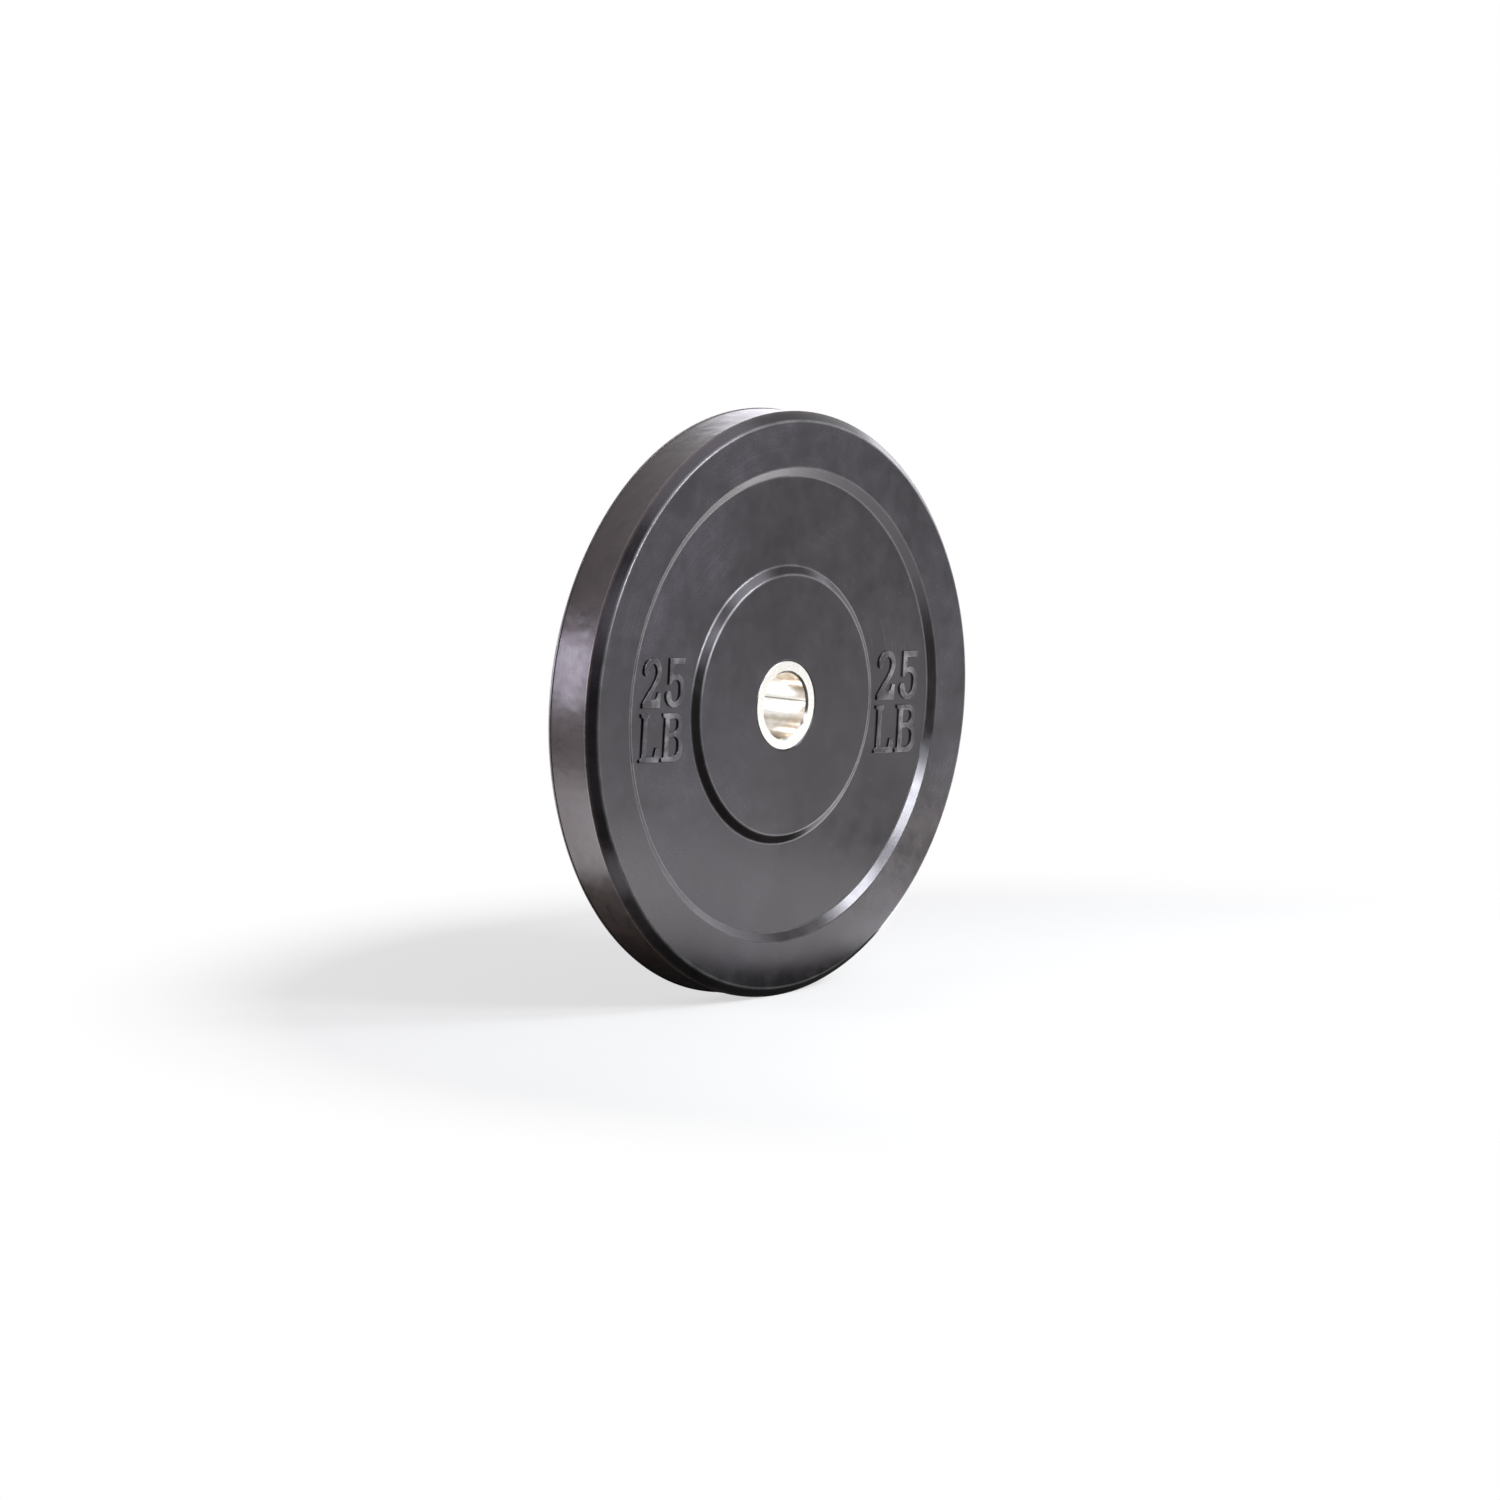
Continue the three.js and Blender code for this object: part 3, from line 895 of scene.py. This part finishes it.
def studioFloor():
    # pale paper: it keeps the plate's shadow, and runs out to plain white further off
    material, tree = newMaterial("paleStudioPaper")
    place = output(addNode(tree, "ShaderNodeTexCoord"), "Object")
    flat = addNode(tree, "ShaderNodeVectorMath", {0: place, 1: (1, 1, 0)}, operation="MULTIPLY")
    direction = addNode(tree, "ShaderNodeVectorMath", {0: flat}, operation="NORMALIZE")
    distance = addNode(tree, "ShaderNodeVectorMath",
                       {0: flat, 1: Vector(studio["shadowMiddle"]) * mm}, operation="DISTANCE")
    path = addNode(tree, "ShaderNodeLightPath")
    seen = output(path, "Is Camera Ray")
    colour = addNode(tree, "ShaderNodeMix",
                     {0: seen, 1: linearFromHex(studio["floorBounce"]),
                      2: linearFromHex(studio["floorTint"])}, data_type="RGBA")
    paper = addNode(tree, "ShaderNodeBsdfDiffuse", {"Color": colour})
    white = addNode(tree, "ShaderNodeEmission", {"Color": (1, 1, 1, 1), "Strength": 1.0})
    mirrored = addNode(tree, "ShaderNodeMath",
                       {0: output(path, "Is Glossy Ray"), 1: litSide(tree, direction)},
                       operation="MULTIPLY")
    shown = addNode(tree, "ShaderNodeMath", {0: seen, 1: mirrored}, operation="MAXIMUM")
    near, far = studio["shadowReach"]
    faded = addNode(tree, "ShaderNodeMapRange",
                    {"Value": output(distance, "Value"), **limits(near * mm, far * mm)},
                    interpolation_type="SMOOTHSTEP")
    glow = addNode(tree, "ShaderNodeMath", {0: seen, 1: studio["paperGlow"]},
                   operation="MULTIPLY")
    lifted = addNode(tree, "ShaderNodeMath", {0: faded, 1: glow}, operation="MAXIMUM")
    share = addNode(tree, "ShaderNodeMath", {0: lifted, 1: shown}, operation="MULTIPLY")
    blend = addNode(tree, "ShaderNodeMixShader", {0: share, 1: paper, 2: white})
    addNode(tree, "ShaderNodeOutputMaterial", {"Surface": blend})

    half = studio["floorSize"] / 2 * mm
    mesh = bpy.data.meshes.new("studioFloor")
    mesh.from_pydata([(-half, -half, discLow.z), (half, -half, discLow.z),
                      (half, half, discLow.z), (-half, half, discLow.z)], [], [(0, 1, 2, 3)])
    mesh.materials.append(material)
    floor = bpy.data.objects.new("studioFloor", mesh)
    bpy.context.scene.collection.objects.link(floor)


def studioWorld():
    # plain white for the camera; glossy surfaces see it on the lit side of the room only
    world = bpy.data.worlds.new("studioWorld")
    world.use_nodes = True
    tree = world.node_tree
    tree.nodes.clear()
    direction = output(addNode(tree, "ShaderNodeTexCoord"), "Generated")
    path = addNode(tree, "ShaderNodeLightPath")
    gloss = addNode(tree, "ShaderNodeMapRange",
                    {"Value": output(path, "Is Glossy Ray"),
                     **limits(0.0, 1.0, studio["fill"], 1.0)})
    lit = addNode(tree, "ShaderNodeMath", {0: gloss, 1: litSide(tree, direction)},
                  operation="MULTIPLY")
    strength = addNode(tree, "ShaderNodeMath", {0: output(path, "Is Camera Ray"), 1: lit},
                       operation="MAXIMUM")
    background = addNode(tree, "ShaderNodeBackground",
                         {"Color": (1, 1, 1, 1), "Strength": strength})
    addNode(tree, "ShaderNodeOutputWorld", {"Surface": background})
    bpy.context.scene.world = world


# Each softbox: the middle of its face, the point it is turned to, its width and height,
# and the brightness of its face
softboxes = {
    "keyLow": ((62, -1021, 330), (150, -23, -97), 230, 300, 36),
    "keyHigh": ((441, -815, 522), (89, -23, -155), 280, 280, 25),
    "frontWide": ((-300, -1150, 640), (0, 0, 0), 1500, 420, 1.45),
    "frontHigh": ((520, -850, 920), (0, 0, 100), 620, 260, 2.1),
    "overhead": ((350, -850, 1400), (0, 0, 0), 1500, 900, 1.0),
    "sideLow": ((1230, -300, 165), (0, 0, 0), 560, 700, 1.45),
    "sideRight": ((1330, 250, 380), (0, 0, 50), 400, 250, 2.1),
    "backRight": ((1350, 1150, 600), (0, 0, 100), 1000, 1000, 2.16),
    "backLeft": ((-1260, 897, 320), (-220, 0, 40), 420, 520, 12.5),
}

# Each card just over the floor, facing up: its middle, width and length, and brightness
cards = {
    "cardFront": (310, -385, 440, 540, 2.05),
    "cardFar": (1000, -850, 1100, 600, 0.48),
    "cardMiddle": (955, -740, 200, 260, 1.0),
    "cardEdge": (1330, -969, 200, 260, 1.0),
    "cardBehind": (25, 270, 500, 280, 1.2),
    "cardSide": (1000, -300, 500, 400, 2.3),
    "cardRight": (505, 20, 560, 400, 2.8),
    "cardBack": (-438, 235, 420, 290, 2.8),
    "cardLeft": (-245, -115, 70, 70, 1.3),
}


def placeLamp(name, place, aim, width, height, brightness, tint):
    # an area lamp that no camera sees, with its energy worked out from its face's brightness
    lamp = bpy.data.lights.new(name, "AREA")
    lamp.shape = "RECTANGLE"
    lamp.size = width * mm
    lamp.size_y = height * mm
    lamp.color = linearFromHex(studio[tint])[:3]
    lamp.energy = brightness * math.pi * lamp.size * lamp.size_y
    box = bpy.data.objects.new(name, lamp)
    bpy.context.scene.collection.objects.link(box)
    box.location = Vector(place) * mm
    box.rotation_euler = (Vector(place) - Vector(aim)).to_track_quat("Z", "Y").to_euler()
    box.visible_camera = False


def placeSoftboxes():
    for name, (place, aim, *face) in softboxes.items():
        placeLamp(name, place, aim, *face, "keyTint" if name.startswith("key") else "lampTint")
    level = discLow.z / mm + studio["cardLift"]
    for name, (x, y, *face) in cards.items():
        placeLamp(name, (x, y, level), (x, y, 0), *face, "cardTint")


camera = {
    "bearing": -49.717,
    "rise": 8.07,
    "distance": 7652,
    "aim": (-9.64, 2.75, -36.0),  # the point in the middle of the picture
    "lens": 240,
    "sensor": 36,
    "farClip": 100000,            # past the floor's far edge
}


def placeCamera():
    data = bpy.data.cameras.new("camera")
    data.lens = camera["lens"]
    data.sensor_width = camera["sensor"]
    data.clip_end = camera["farClip"] * mm
    holder = bpy.data.objects.new("camera", data)
    bpy.context.scene.collection.objects.link(holder)
    outward = towards(camera["bearing"], camera["rise"])
    holder.location = Vector(camera["aim"]) * mm + outward * camera["distance"] * mm
    holder.rotation_euler = outward.to_track_quat("Z", "Y").to_euler()
    bpy.context.scene.camera = holder


studioFloor()
studioWorld()
placeSoftboxes()
placeCamera()
bpy.context.scene.view_settings.view_transform = "Standard"
print("studio ready")
